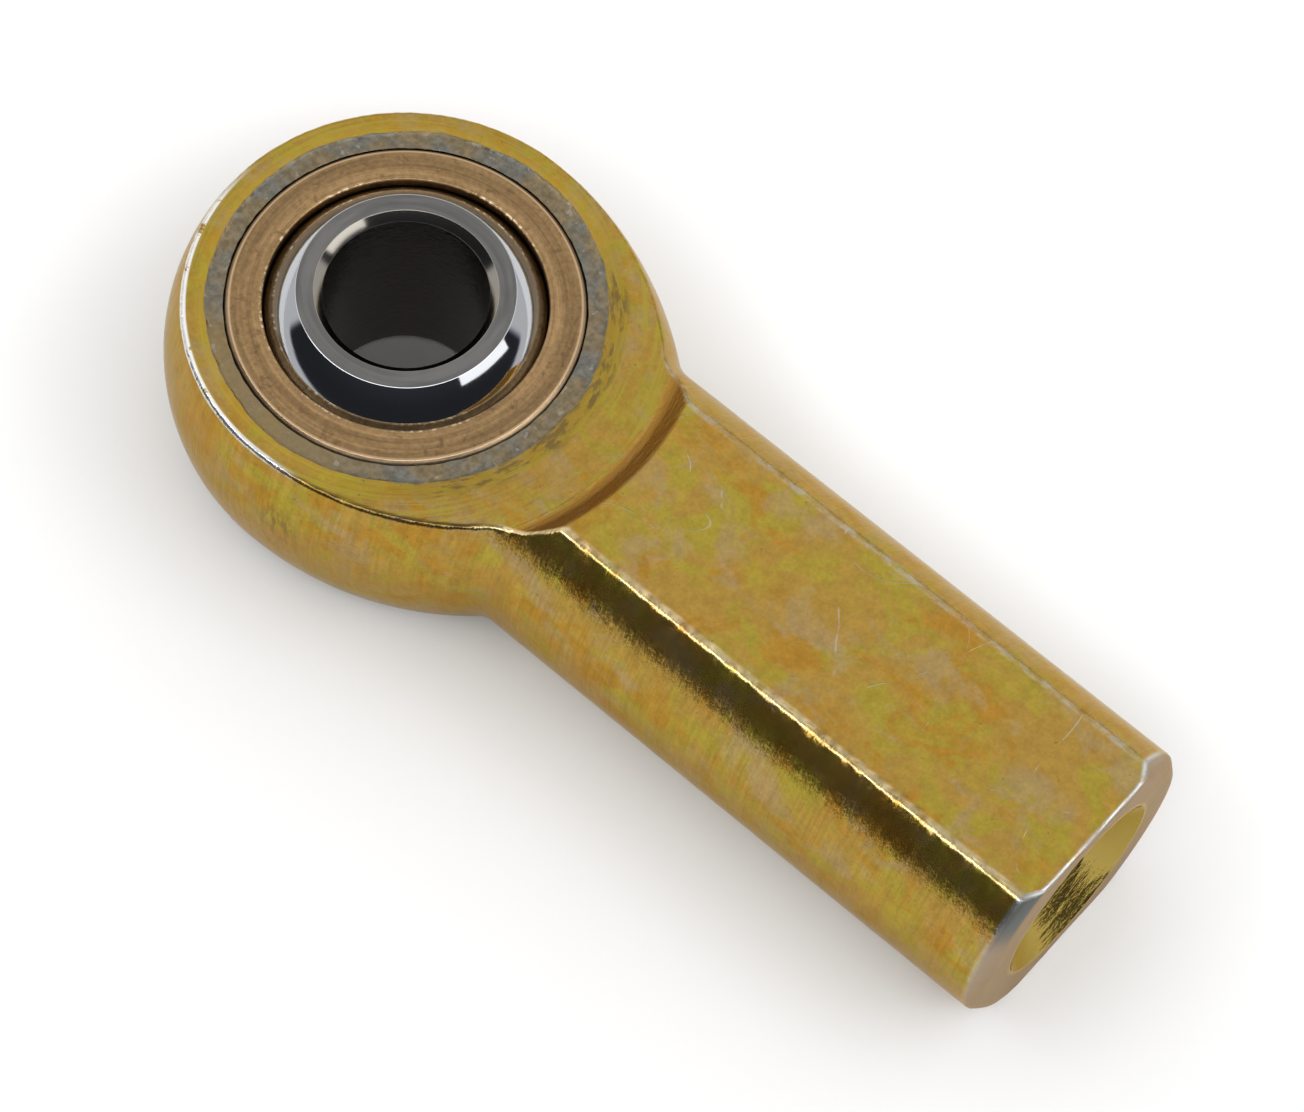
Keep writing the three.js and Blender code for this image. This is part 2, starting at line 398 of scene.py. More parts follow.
def seat_cutter():
    """Everything taken out for the race: its seat, the staked lips and the punched rings."""
    seat = RACE_RADIUS + SEAT_GAP
    floor_z = FACE_Z - STAKED_DEPTH
    rim = [
        (seat, FACE_Z - RACE_BEVEL_DEPTH + SEAT_GAP),
        (LIP_RADIUS + 0.075, floor_z - 0.045),
        (LIP_RADIUS + 0.045, floor_z - 0.016),
        (LIP_RADIUS + 0.06, floor_z - 0.002),
        (LIP_RADIUS + 0.12, floor_z),
        (LIP_RADIUS + 0.32, floor_z + 0.015),
        (STAKED_RADIUS - 0.25, floor_z + 0.01),
        (STAKED_RADIUS - 0.10, floor_z + 0.02),
        (STAKED_RADIUS, FACE_Z - 0.01),
        (STAKED_RADIUS + 0.04, FACE_Z + 0.2),
        (STAKED_RADIUS + 0.04, FACE_Z + OVERSHOOT),
    ]
    profile = [(r, -z) for r, z in reversed(rim)] + rim
    rings = lathe_rings(profile, SEAT_SEGMENTS)
    make_ragged(rings)
    bottom = (0, 0, -FACE_Z - OVERSHOOT)
    top = (0, 0, FACE_Z + OVERSHOOT)
    return make_object("seat_cutter", *closed_grid(rings, bottom, top))


def make_ragged(rings):
    """Makes the punched ring's outer edge and floor uneven, as the staking tool leaves them."""
    radius = np.hypot(rings[..., 0], rings[..., 1])
    flat = rings.reshape(-1, 3)
    slow = wobble(flat, size=2.6, seed=3.0).reshape(radius.shape)
    quick = wobble(flat, size=0.45, seed=9.0).reshape(radius.shape)
    outer = smoothstep(STAKED_RADIUS - 0.3, STAKED_RADIUS, radius)
    lip = smoothstep(LIP_RADIUS + 0.25, LIP_RADIUS + 0.05, radius)
    lip = lip * (np.abs(rings[..., 2]) > FACE_Z - STAKED_DEPTH - 0.05)
    shift = 1 + (outer * (0.11 * slow + 0.05 * quick) + lip * 0.03 * quick) / STAKED_RADIUS
    rings[..., 0] = rings[..., 0] * shift + 0.06 * outer
    rings[..., 1] *= shift
    on_ring = smoothstep(LIP_RADIUS, LIP_RADIUS + 0.15, radius) * (1 - outer)
    rings[..., 2] += np.sign(rings[..., 2]) * on_ring * 0.016 * (quick + slow)


def thread_cutter():
    """The drilled, countersunk and threaded hole, as a solid to take away."""
    start = SHANK_END - DRILL_DEPTH
    steps = int(DRILL_DEPTH / THREAD_PITCH * THREAD_ROWS_PER_TURN)
    x = np.append(np.linspace(start, SHANK_END, steps), SHANK_END + OVERSHOOT)
    turn = np.linspace(0, 2 * math.pi, THREAD_SEGMENTS, endpoint=False)
    phase = (x[:, None] / THREAD_PITCH - turn[None, :] / (2 * math.pi)) % 1
    groove = np.clip(GROOVE_FLATNESS - np.abs(phase - 0.5) * 2 * GROOVE_SLOPE, 0, 1)
    thread_start = SHANK_END - THREAD_LENGTH
    fade = smoothstep(thread_start - THREAD_RUNOUT, thread_start, x)[:, None]
    depth = groove * (THREAD_MAJOR - THREAD_MINOR) * fade
    sink = COUNTERSINK_RADIUS - (SHANK_END - x)
    radius = np.maximum(THREAD_MINOR + depth, sink[:, None])
    along = np.repeat(x[:, None], len(turn), 1)
    rings = np.stack([along, radius * np.cos(turn), radius * np.sin(turn)], -1)
    point_depth = THREAD_MINOR / math.tan(math.radians(DRILL_POINT_ANGLE / 2))
    drill_point = (start - point_depth, 0, 0)
    mouth = (SHANK_END + OVERSHOOT, 0, 0)
    return make_object("thread_cutter", *closed_grid(rings, drill_point, mouth))


def subtract(piece, cutter):
    cut = piece.modifiers.new("cut", "BOOLEAN")
    cut.operation = "DIFFERENCE"
    cut.solver = "MANIFOLD"
    cut.object = cutter
    depsgraph = bpy.context.evaluated_depsgraph_get()
    result = bpy.data.meshes.new_from_object(piece.evaluated_get(depsgraph))
    piece.modifiers.clear()
    piece.data = result
    bpy.data.objects.remove(cutter)


def body_masks(piece):
    """Where each finish lies on the body, from 0 to 1 at every vertex."""
    x, y, z = local_points(piece).T
    radius = np.hypot(y, z)
    height = np.abs(z)
    in_ring = np.hypot(x, y) < STAKED_RADIUS + 0.3
    bored = in_ring & (height < FACE_Z - 0.005)
    hole = (radius < COUNTERSINK_RADIUS + 0.02) & (x > SHANK_END - HOLE_REACH)
    outside = ~(bored | hole)
    cap = cap_field(x, y, z)
    end = end_field(x, radius)
    sides = np.maximum(turned_field(x, radius), height - FLAT_Z)
    crescent = smoothstep(0.03, 0.12, height - FACE_Z) * smoothstep(-0.02, -0.12, height - FLAT_Z)
    finishes = {
        "edge": nearness(bar_field(x, y, z), cap, WEAR_REACH),
        "end_edge": nearness(end, sides, WEAR_REACH),
        "end_face": smoothstep(-0.07, -0.02, end),
        "crescent": crescent * (np.abs(cap) < 0.05),
        "wrench_flat": smoothstep(-0.08, -0.02, height - FLAT_Z),
    }
    for name, values in finishes.items():
        add_mask(piece, name, values * outside)
    add_mask(piece, "staked", in_ring & (height > FACE_Z - 0.45) & (height < FACE_Z - 0.004))
    add_mask(piece, "hole", hole)


def rod_end_body():
    pole = (-HEAD_RADIUS, 0, 0)
    end_middle = (SHANK_END, 0, 0)
    piece = make_object("rod_end_body_fine", *closed_grid(body_outside(), pole, end_middle))
    subtract(piece, seat_cutter())
    subtract(piece, thread_cutter())
    shade(piece)
    body_masks(piece)
    return piece


# ================================================================ race and ball
def race_face(outer_radius, inner_radius, eased=0.12):
    """The race's face between its eased edges, with a faint ripple from turning."""
    points = []
    for i in range(1, RACE_FACE_STEPS):
        r = outer_radius + (inner_radius - outer_radius) * (i / RACE_FACE_STEPS)
        if inner_radius + eased < r < outer_radius - eased:
            ripple = 1 + math.sin(r * 31) * math.cos(r * 13)
            points.append((r, FACE_Z - RACE_RIPPLE * ripple))
    return points


def race_profile():
    """Section of the upper race half, anticlockwise, with its edges eased."""
    seat = BALL_RADIUS + SWIVEL_CLEARANCE
    split = SEAT_GAP / 2
    relief = math.acos(RACE_OPENING_RADIUS / seat)
    relief_z = seat * math.sin(relief)
    outer_foot = (RACE_RADIUS, split)
    shoulder = (RACE_RADIUS, FACE_Z - RACE_BEVEL_DEPTH)
    face_outer = (RACE_FACE_RADIUS, FACE_Z)
    face_inner = (RACE_OPENING_RADIUS, FACE_Z)
    mouth = (RACE_OPENING_RADIUS, relief_z)
    inside_mouth = (RACE_OPENING_RADIUS + 0.3, relief_z - 0.3)
    profile = [outer_foot]
    profile += rounded_corner(outer_foot, shoulder, face_outer, RACE_SPLIT_ROUND)
    profile += rounded_corner(shoulder, face_outer, face_inner, RACE_FACE_ROUND)
    profile += race_face(RACE_FACE_RADIUS, RACE_OPENING_RADIUS)
    profile += rounded_corner(face_outer, face_inner, mouth, RACE_FACE_ROUND)
    profile += rounded_corner(face_inner, mouth, inside_mouth, RACE_MOUTH_ROUND)
    profile += arc((0, 0), seat, relief - 0.01, math.asin(split / seat), 24)
    return profile


def race_half(name, side):
    profile = [(r, z * side) for r, z in race_profile()]
    piece = ring_solid(name, profile if side > 0 else profile[::-1])
    shade(piece)
    return piece


def ball_profile(mouth, rim_angle):
    """Closed section of the ball, from its equator up, down the bore and back."""
    rim_radius = BALL_RADIUS * math.cos(rim_angle)
    bore_top = (BORE_RADIUS, BALL_HALF_WIDTH - BORE_CHAMFER)
    face_inner = (mouth, BALL_HALF_WIDTH)
    face_outer = (rim_radius, BALL_HALF_WIDTH)
    below = rim_angle - 0.05
    below_rim = (BALL_RADIUS * math.cos(below), BALL_RADIUS * math.sin(below))
    half = arc((0, 0), BALL_RADIUS, 0, rim_angle - 0.03, 40)
    half += rounded_corner(below_rim, face_outer, face_inner, BALL_RIM_ROUND, 6)
    half += [(mouth + (rim_radius - mouth) * t, BALL_HALF_WIDTH) for t in (0.75, 0.5, 0.25)]
    half += rounded_corner(face_outer, face_inner, bore_top, BORE_MOUTH_ROUND)
    half += rounded_corner(face_inner, bore_top, (BORE_RADIUS, 0), BORE_EDGE_ROUND)
    half += [(BORE_RADIUS, z) for z in np.linspace(BALL_HALF_WIDTH - 0.6, 0.3, 8)]
    return half + [(BORE_RADIUS, 0.0)] + [(r, -z) for r, z in reversed(half[1:])]


def ball():
    """A truncated sphere with flat ground faces, a straight bore and small chamfers."""
    mouth = BORE_RADIUS + BORE_CHAMFER
    rim_angle = math.asin(BALL_HALF_WIDTH / BALL_RADIUS)
    piece = ring_solid("ball_fine", ball_profile(mouth, rim_angle))
    shade(piece)
    x, y, z = local_points(piece).T
    radius = np.hypot(x, y)
    on_face = np.abs(z) > BALL_HALF_WIDTH - 0.004
    inside_rim = radius < BALL_RADIUS * math.cos(rim_angle) - 0.02
    add_mask(piece, "ground", on_face & (radius > mouth - 0.01) & inside_rim)
    add_mask(piece, "bore", radius < BORE_RADIUS + 0.002)
    add_mask(piece, "chamfer", (radius > BORE_RADIUS + 0.002) & (radius < mouth + 0.01))
    return piece


# ================================================================ node helpers
class Nodes:
    """Short ways to add and link the nodes of one tree."""

    def __init__(self, tree):
        self.tree = tree
        tree.nodes.clear()

    def node(self, kind, settings=None, **inputs):
        made = self.tree.nodes.new(kind)
        for key, value in (settings or {}).items():
            setattr(made, key, value)
        for key, value in inputs.items():
            self.feed(made.inputs[key.replace("_", " ")], value)
        return made

    def feed(self, socket, value):
        if isinstance(value, bpy.types.NodeSocket):
            self.tree.links.new(value, socket)
        elif socket.type == "RGBA":
            socket.default_value = (*value, 1)
        else:
            socket.default_value = value

    def feed_all(self, sockets, values):
        for socket, value in zip(sockets, values):
            self.feed(socket, value)

    def math(self, operation, a, b=0.0):
        made = self.node("ShaderNodeMath", {"operation": operation})
        self.feed_all(made.inputs, (a, b))
        return made.outputs[0]

    def times(self, first, *others):
        product = first
        for factor in others:
            product = self.math("MULTIPLY", product, factor)
        return product

    def minus(self, a, b):
        return self.math("SUBTRACT", a, b)

    def either(self, a, b):
        return self.math("MAXIMUM", a, b)

    def unsigned(self, a):
        return self.math("ABSOLUTE", a)

    def length(self, a, b):
        return self.math("SQRT", self.math("ADD", self.times(a, a), self.times(b, b)))

    def step(self, value, low, high, to_low=0.0, to_high=1.0):
        """Smooth change from to_low at low to to_high at high."""
        made = self.node("ShaderNodeMapRange", {"interpolation_type": "SMOOTHSTEP"})
        names = ("Value", "From Min", "From Max", "To Min", "To Max")
        self.feed_all([made.inputs[name] for name in names], (value, low, high, to_low, to_high))
        return made.outputs[0]

    def mix(self, factor, a, b):
        """Colour a where the factor is 0, colour b where it is 1."""
        made = self.node("ShaderNodeMix", {"data_type": "RGBA"})
        self.feed_all((made.inputs[0], made.inputs[6], made.inputs[7]), (factor, a, b))
        return made.outputs[2]

    def blend(self, factor, a, b):
        """Number a where the factor is 0, number b where it is 1."""
        made = self.node("ShaderNodeMix", {"data_type": "FLOAT"})
        self.feed_all((made.inputs[0], made.inputs[2], made.inputs[3]), (factor, a, b))
        return made.outputs[0]


class Graph(Nodes):
    """The nodes of one material. Its coordinates are millimetres about the ball's centre."""

    def __init__(self, name):
        self.material = bpy.data.materials.new(name)
        self.material.use_nodes = True
        super().__init__(self.material.node_tree)
        self.shader = self.node("ShaderNodeBsdfPrincipled")
        self.node("ShaderNodeOutputMaterial", Surface=self.shader.outputs[0])
        coordinates = self.node("ShaderNodeTexCoord").outputs["Object"]
        centred = self.vector("SUBTRACT", coordinates, tuple(BALL_CENTRE))
        self.place = self.vector("SCALE", centred, scale=1 / MM)
        self.x, self.y, self.z = self.node("ShaderNodeSeparateXYZ", Vector=self.place).outputs
        self.facing = self.length(self.x, self.y)
        self.around_shank = self.length(self.y, self.z)

    def vector(self, operation, a, b=None, scale=None):
        made = self.node("ShaderNodeVectorMath", {"operation": operation})
        self.feed(made.inputs[0], a)
        if b is not None:
            self.feed(made.inputs[1], b)
        if scale is not None:
            self.feed(made.inputs["Scale"], scale)
        return made.outputs[1 if operation == "DISTANCE" else 0]

    def stretched(self, *factors):
        return self.vector("MULTIPLY", self.place, factors)

    def shifted(self, offset, where=None):
        """Moved coordinates, so that two noises of one scale don't match."""
        return self.vector("ADD", self.place if where is None else where, offset)

    def combine(self, x, y, z):
        return self.node("ShaderNodeCombineXYZ", X=x, Y=y, Z=z).outputs[0]

    def noise(self, where, scale, detail=2.0, roughness=0.5, distortion=0.0):
        made = self.node("ShaderNodeTexNoise", Vector=where, Scale=scale, Detail=detail,
                         Roughness=roughness, Distortion=distortion)
        return made.outputs[0]

    def lines(self, along, fineness, spread=0.2):
        """Noise that changes quickly along one direction and slowly around it."""
        where = self.combine(self.times(along, fineness), self.times(self.y, spread),
                             self.times(self.z, spread))
        return self.noise(where, 1.0, detail=3.0, roughness=0.65)

    def scaled(self, colour, factor):
        made = self.node("ShaderNodeMix", {"data_type": "RGBA", "blend_type": "MULTIPLY"})
        grey = self.combine(factor, factor, factor)
        self.feed_all((made.inputs[0], made.inputs[6], made.inputs[7]), (1, colour, grey))
        return made.outputs[2]

    def shaded(self, colour, pattern, darkest, lightest):
        """The colour, darker where the noise is low and lighter where it is high."""
        return self.scaled(colour, self.step(pattern, 0.3, 0.7, to_low=darkest, to_high=lightest))

    def mask(self, name):
        return self.node("ShaderNodeAttribute", {"attribute_name": name}).outputs["Fac"]

    def bump(self, height, distance, normal=None):
        made = self.node("ShaderNodeBump", Height=height, Distance=distance, Strength=1.0)
        if normal is not None:
            self.feed(made.inputs["Normal"], normal)
        return made.outputs[0]

    def finish(self, **inputs):
        for key, value in inputs.items():
            self.feed(self.shader.inputs[key.replace("_", " ")], value)
        return self.material


# ================================================================ colours
GOLD = (0.391, 0.239, 0.050)
OLIVE = (0.365, 0.277, 0.040)
ORANGE = (0.396, 0.207, 0.030)
PALE_ROSE = (0.374, 0.261, 0.109)
LEMON = (0.400, 0.304, 0.043)
BROWN_FILM = (0.383, 0.187, 0.039)
RING_LEMON = (0.452, 0.313, 0.035)
GRAZING_SHEEN = (0.42, 0.31, 0.20)
HOLE_GLINT_GOLD = (0.74, 0.55, 0.15)
COUNTERSINK_GOLD = (0.40, 0.29, 0.07)

WORN_NEAR_HIGHLIGHT = (0.86, 0.71, 0.42)
WORN_BARE_HIGHLIGHT = (0.82, 0.81, 0.78)
WORN_DULL = (0.47, 0.47, 0.42)
WORN_END = (0.56, 0.58, 0.57)
SCRATCH = (0.452, 0.430, 0.360)
PIT = (0.16, 0.11, 0.05)
STAIN = (0.14, 0.09, 0.04)
NEAR_RIM_DARK = (0.11, 0.08, 0.035)
# painted shade and dirt for the gap between the race and the body
SEAM_SHADE_AND_DIRT = (0.030, 0.024, 0.018)

PUNCHED_GREY = (0.178, 0.174, 0.150)
PUNCHED_BROWN = (0.228, 0.178, 0.106)
PUNCHED_TAN = (0.275, 0.195, 0.085)
PUNCHED_SPECK = (0.435, 0.417, 0.383)
END_BROWN = (0.348, 0.261, 0.200)
END_PALE = (0.409, 0.322, 0.252)
END_CHAMFER_DARK_REFLECTION = (0.148, 0.174, 0.174)

BRONZE_DARK = (0.278, 0.176, 0.083)
BRONZE_LIGHT = (0.357, 0.226, 0.106)
BRONZE_SMEAR = (0.13, 0.075, 0.035)
BRONZE_GLINT = (0.730, 0.557, 0.348)
BRONZE_LIP_HIGHLIGHT = (0.696, 0.504, 0.313)

CHROME = (0.522, 0.535, 0.557)
GROUND_DARK = (0.132, 0.130, 0.125)
GROUND_LIGHT = (0.160, 0.157, 0.150)
BORE_CHAMFER_STEEL = (0.400, 0.372, 0.325)
BORE_STEEL_AND_SHADE = (0.150, 0.136, 0.122)

FLOOR_DARK = (0.95, 0.95, 0.95)
FLOOR_LIGHT = (0.97, 0.97, 0.97)
WHITE = (1.0, 1.0, 1.0)
ROOM_BLUE = (0.88, 0.96, 1.12)

ZINC_SPECULAR_TINT = (0.80, 0.66, 0.42)
ZINC_ROUGHNESS = {"wrench_flat": 0.30, "staked": 0.46, "end_face": 0.48, "hole": 0.13}


# ================================================================ yellow zinc
def yellow_zinc():
    g = Graph("yellow_zinc_steel")
    face = head_face(g)
    scratched = flat_scratches(g)
    colour = zinc_film(g, face)
    colour = g.mix(g.times(g.mask("crescent"), 0.8), colour, BROWN_FILM)
    colour = g.mix(g.times(scratched, 0.6), colour, SCRATCH)
    colour = faced_film(g, colour, face)
    colour = stained_rim(g, colour, face)
    colour = pitted(g, colour)
    # painted sheen where the film is seen at a low angle
    colour = grazing_sheen(g, colour)
    colour = worn_edges(g, colour)
    colour = g.mix(g.mask("staked"), colour, punched_steel(g))
    colour = end_colours(g, colour)
    colour = hole_colours(g, colour)
    # painted shade and dirt: the body darkened to near black in the gap against the race's lip
    seam_shade = g.times(g.step(g.facing, LIP_RADIUS + 0.06, LIP_RADIUS), g.mask("staked"))
    colour = g.mix(g.times(seam_shade, 0.9), colour, SEAM_SHADE_AND_DIRT)
    return g.finish(Base_Color=colour, Metallic=0.9, Roughness=zinc_roughness(g),
                    Normal=zinc_bumps(g, face, scratched),
                    Specular_IOR_Level=0.25, Specular_Tint=ZINC_SPECULAR_TINT)


def head_face(g):
    """1 on the head's two faced sides, around the punched ring."""
    height = g.unsigned(g.z)
    level = g.times(g.step(height, FACE_Z - 0.04, FACE_Z - 0.01),
                    g.step(height, FACE_Z + 0.06, FACE_Z + 0.02))
    return g.times(level, g.step(g.facing, FACING_RADIUS - 0.02, FACING_RADIUS - 0.12))


def zinc_film(g, face):
    """Yellow chromate film: gold that drifts to olive, orange and pale rose in soft clouds."""
    place = g.stretched(0.75, 1.0, 1.0)
    drift = g.noise(place, 0.42, detail=5.0, roughness=0.6, distortion=1.0)
    patches = g.noise(g.shifted((31.0, 7.0, 3.0), place), 0.55,
                      detail=5.0, roughness=0.6, distortion=0.8)
    rosy = g.noise(g.shifted((-11.0, 23.0, 5.0), place), 0.6,
                   detail=5.0, roughness=0.65, distortion=0.5)
    turned = g.minus(1.0, g.either(g.mask("wrench_flat"), face))
    colour = g.mix(g.step(drift, 0.45, 0.59), GOLD, OLIVE)
    colour = streaked(g, colour, turned)
    colour = g.mix(g.step(patches, 0.49, 0.62, to_high=0.9), colour, ORANGE)
    colour = g.mix(g.step(rosy, 0.50, 0.66, to_high=0.8), colour, PALE_ROSE)
    colour = g.shaded(colour, g.noise(g.place, 1.7, detail=5.0, roughness=0.7), 0.90, 1.09)
    hair_lines = g.step(g.lines(g.x, 6.0, 0.4), 0.3, 0.7, to_low=0.90, to_high=1.10)
    colour = g.scaled(colour, g.blend(turned, 1.0, hair_lines))
    return g.shaded(colour, g.noise(g.place, 7.0, detail=2.0, roughness=0.6), 0.94, 1.06)


def streaked(g, colour, turned):
    """Greener and redder streaks around the turned sides."""
    streaks = g.lines(g.x, 1.5, 0.22)
    greener = g.times(g.step(streaks, 0.52, 0.66), turned, 0.7)
    redder = g.times(g.step(streaks, 0.46, 0.34), turned, 0.6)
    return g.mix(redder, g.mix(greener, colour, OLIVE), ORANGE)


def faced_film(g, colour, face):
    """Lemon and orange rings on the head's faces."""
    rings = g.lines(g.facing, 3.2, 0.12)
    colour = g.mix(g.times(g.step(rings, 0.5, 0.62, to_high=0.8), face), colour, LEMON)
    colour = g.mix(g.times(g.step(rings, 0.44, 0.34, to_high=0.5), face), colour, ORANGE)
    return g.scaled(colour, g.blend(face, 1.0, 0.90))


def stained_rim(g, colour, face):
    """Dark brown smudges just outside the punched ring, and lemon film next to it."""
    reach = g.step(g.x, 0.0, 6.0, to_low=0.35, to_high=0.80)
    ring_edge = g.minus(g.facing, reach)
    by_ring = g.times(g.step(ring_edge, STAKED_RADIUS + 0.15, STAKED_RADIUS - 0.25), face)
    spots = g.lines(g.facing, 2.6, 0.8)
    threshold = g.step(g.x, 2.0, 6.5, to_low=0.85, to_high=0.47)
    smudge = g.step(g.minus(spots, threshold), 0.0, 0.12)
    colour = g.mix(g.times(by_ring, 0.35), colour, RING_LEMON)
    darker = g.times(by_ring, g.step(g.x, 2.0, 6.5))
    colour = g.scaled(colour, g.blend(darker, 1.0, 0.80))
    return g.mix(g.times(smudge, by_ring, 0.75), colour, STAIN)


def flat_scratches(g):
    """Thin pale scratches on the wrench flats."""
    marks = g.either(scratches(g, 0.11, (3.0, 8.0, 0.0)), scratches(g, 0.15, (40.0, -8.0, 0.0)))
    return g.times(marks, g.mask("wrench_flat"))


def scratches(g, scale, offset, width=0.0022):
    """Thin wandering lines where a slow noise crosses its middle."""
    place = g.shifted(offset)
    field = g.noise(place, scale, detail=2.0, roughness=0.3, distortion=0.3)
    line = g.step(g.unsigned(g.minus(field, 0.5)), 0.0, width, to_low=1.0, to_high=0.0)
    broken = g.step(g.noise(place, 0.9, detail=2.0), 0.52, 0.60)
    return g.times(line, broken)


def pitted(g, colour):
    """Small dark pits all over, and a scuffed patch."""
    pits = g.step(g.noise(g.place, 3.8, detail=2.0, roughness=0.5), 0.71, 0.76)
    return g.mix(g.either(g.times(pits, 0.55), scuff(g)), colour, PIT)


def scuff(g):
    """A small rubbed patch of dark strokes on the head's near side."""
    away = g.vector("DISTANCE", g.stretched(1.0, 1.0, 0.6), (1.65, -9.1, 0.2))
    strokes = g.noise(g.stretched(6.0, 6.0, 1.6), 1.0, detail=3.0, roughness=0.6)
    return g.times(g.step(away, 1.4, 0.3), g.step(strokes, 0.42, 0.62, to_high=0.8))


def grazing_sheen(g, colour):
    """A painted pale sheen on the film where it is seen at a low angle, in patches."""
    grazing = g.node("ShaderNodeLayerWeight", Blend=0.5).outputs["Facing"]
    clouds = g.noise(g.shifted((0.0, 0.0, 70.0)), 0.9, detail=4.0, roughness=0.6)
    patches = g.step(clouds, 0.38, 0.60, to_low=0.35, to_high=1.0)
    sheen = g.times(g.step(grazing, 0.40, 0.90, to_high=0.8), patches)
    return g.mix(sheen, colour, GRAZING_SHEEN)


def worn_edges(g, colour):
    """Film rubbed off the edges of the head, the shank and the shank's end; the near edges are
    brightened as a painted highlight.
    """
    patchy = g.noise(g.shifted((0.0, 50.0, 0.0)), 1.6, detail=4.0, roughness=0.65)
    near = g.step(g.y, 1.0, -2.0)
    colour = worn_head(g, colour, patchy, near)
    colour = worn_shank(g, colour, patchy, near)
    wear = g.times(g.step(g.mask("end_edge"), 0.1, 0.6),
                   g.step(patchy, 0.36, 0.52, to_low=0.35, to_high=0.95),
                   g.step(g.unsigned(g.z), 3.2, 4.0, to_low=0.35, to_high=1.0))
    return g.mix(wear, colour, WORN_END)


def worn_head(g, colour, patchy, near):
    """Bare metal on the near rim away from the shank, worn and brightened as a painted highlight,
    and the rest of that rim darker.
    """
    edge = g.mask("edge")
    # worn and painted highlight: bright bare metal on the near rim away from the shank
    bare_highlight = g.times(g.step(g.x, 2.4, 0.6), near, g.step(patchy, 0.34, 0.42),
                   g.step(edge, 0.12, 0.45))
    # the near rim darker towards the shank
    darker_rim = g.times(g.step(g.x, 1.8, 3.2), g.step(g.x, 8.6, 7.8), near,
                    g.step(edge, 0.35, 0.75, to_high=0.8))
    return g.mix(darker_rim, g.mix(bare_highlight, colour, WORN_BARE_HIGHLIGHT), NEAR_RIM_DARK)


def worn_shank(g, colour, patchy, near):
    """Worn edges on the shank, brightened on its near side as a painted highlight, faint grey ones
    on its far side.
    """
    faint = g.step(patchy, 0.42, 0.62, to_low=0.1, to_high=0.5)
    bright = g.step(patchy, 0.3, 0.6, to_low=0.15, to_high=0.7)
    wear = g.times(g.blend(near, faint, bright), g.step(g.x, 8.0, 9.0))
    along_edge = g.step(g.mask("edge"), 0.25, 0.8)
    # worn edges, with a painted highlight on the near side
    return g.mix(g.times(along_edge, wear), colour, g.mix(near, WORN_DULL, WORN_NEAR_HIGHLIGHT))


def punched_steel(g):
    """The staked ring: bare steel, bluish grey with brown stains and pale specks."""
    stains = g.step(g.noise(g.place, 0.6, detail=4.0, roughness=0.6), 0.40, 0.62)
    tone = g.mix(stains, PUNCHED_GREY, PUNCHED_BROWN)
    tone = g.shaded(tone, g.noise(g.place, 3.0, detail=4.0, roughness=0.6), 0.72, 1.2)
    corner = g.times(g.step(g.x, 5.0, 1.0), g.step(g.y, -4.0, -6.8))
    tone = g.mix(g.times(corner, 0.7), tone, PUNCHED_TAN)
    specks = g.step(g.noise(g.shifted((5.0, 5.0, 0.0)), 2.6, detail=2.0), 0.66, 0.72)
    return g.mix(g.times(specks, 0.4), tone, PUNCHED_SPECK)


def end_colours(g, colour):
    """The shank's end: brownish grey, with a painted dark reflection on its chamfer's near corner.
    """
    end = g.mask("end_face")
    grey = g.mix(g.noise(g.place, 0.9, detail=3.0), END_BROWN, END_PALE)
    colour = g.mix(g.times(end, 0.85), colour, grey)
    behind_end = g.step(g.x, SHANK_END - 0.02, SHANK_END - 0.06)
    near_corner = g.times(g.step(g.z, 2.6, 3.8), g.step(g.y, -1.0, -3.0))
    outer = g.step(g.around_shank, 5.0, 5.6)
    # painted dark reflection: the chamfer's near corner made dark bluish grey
    chamfer = g.times(end, behind_end, near_corner, outer)
    return g.mix(g.times(chamfer, 0.85), colour, END_CHAMFER_DARK_REFLECTION)


def hole_colours(g, colour):
    """Bright gold in the threaded hole as a painted highlight, darker towards its countersunk
    mouth.
    """
    countersink = g.step(g.x, SHANK_END - 1.6, SHANK_END - 1.0)
    # painted highlight: the thread's gold far brighter than the film so its flanks glint
    gold = g.mix(countersink, HOLE_GLINT_GOLD, COUNTERSINK_GOLD)
    return g.mix(g.times(g.mask("hole"), 0.9), colour, gold)


def zinc_bumps(g, face, scratched):
    """Turning marks, milling grain, soft waves and scratches, as one normal."""
    flat = g.mask("wrench_flat")
    round_the_bore = g.either(face, g.mask("crescent"))
    marks = g.blend(round_the_bore, g.lines(g.x, 3.2, 0.30), g.lines(g.facing, 7.0))
    grain = g.noise(g.place, 4.0, detail=3.0, roughness=0.6)
    marks = g.blend(g.either(flat, g.mask("staked")), marks, grain)
    depth = g.blend(flat, g.blend(round_the_bore, 0.034, 0.015), 0.003)
    normal = g.bump(g.times(marks, depth), MM)
    milled = g.either(flat, face)
    chatter = g.lines(g.x, 4.5, 1.5)
    normal = g.bump(chatter, g.blend(milled, 0.024 * MM, 0.001 * MM), normal)
    dimples = g.noise(g.shifted((0.0, 9.0, 4.0)), 2.6, detail=3.0, roughness=0.6)
    normal = g.bump(dimples, g.blend(milled, 0.010 * MM, 0.0), normal)
    waves = g.noise(g.place, 0.8, detail=2.0)
    normal = g.bump(waves, 0.012 * MM, normal)
    return g.bump(scratched, -0.006 * MM, normal)


def zinc_roughness(g):
    rough = g.blend(g.noise(g.place, 1.5, detail=3.0), 0.14, 0.24)
    for name, level in ZINC_ROUGHNESS.items():
        rough = g.blend(g.mask(name), rough, level)
    return rough


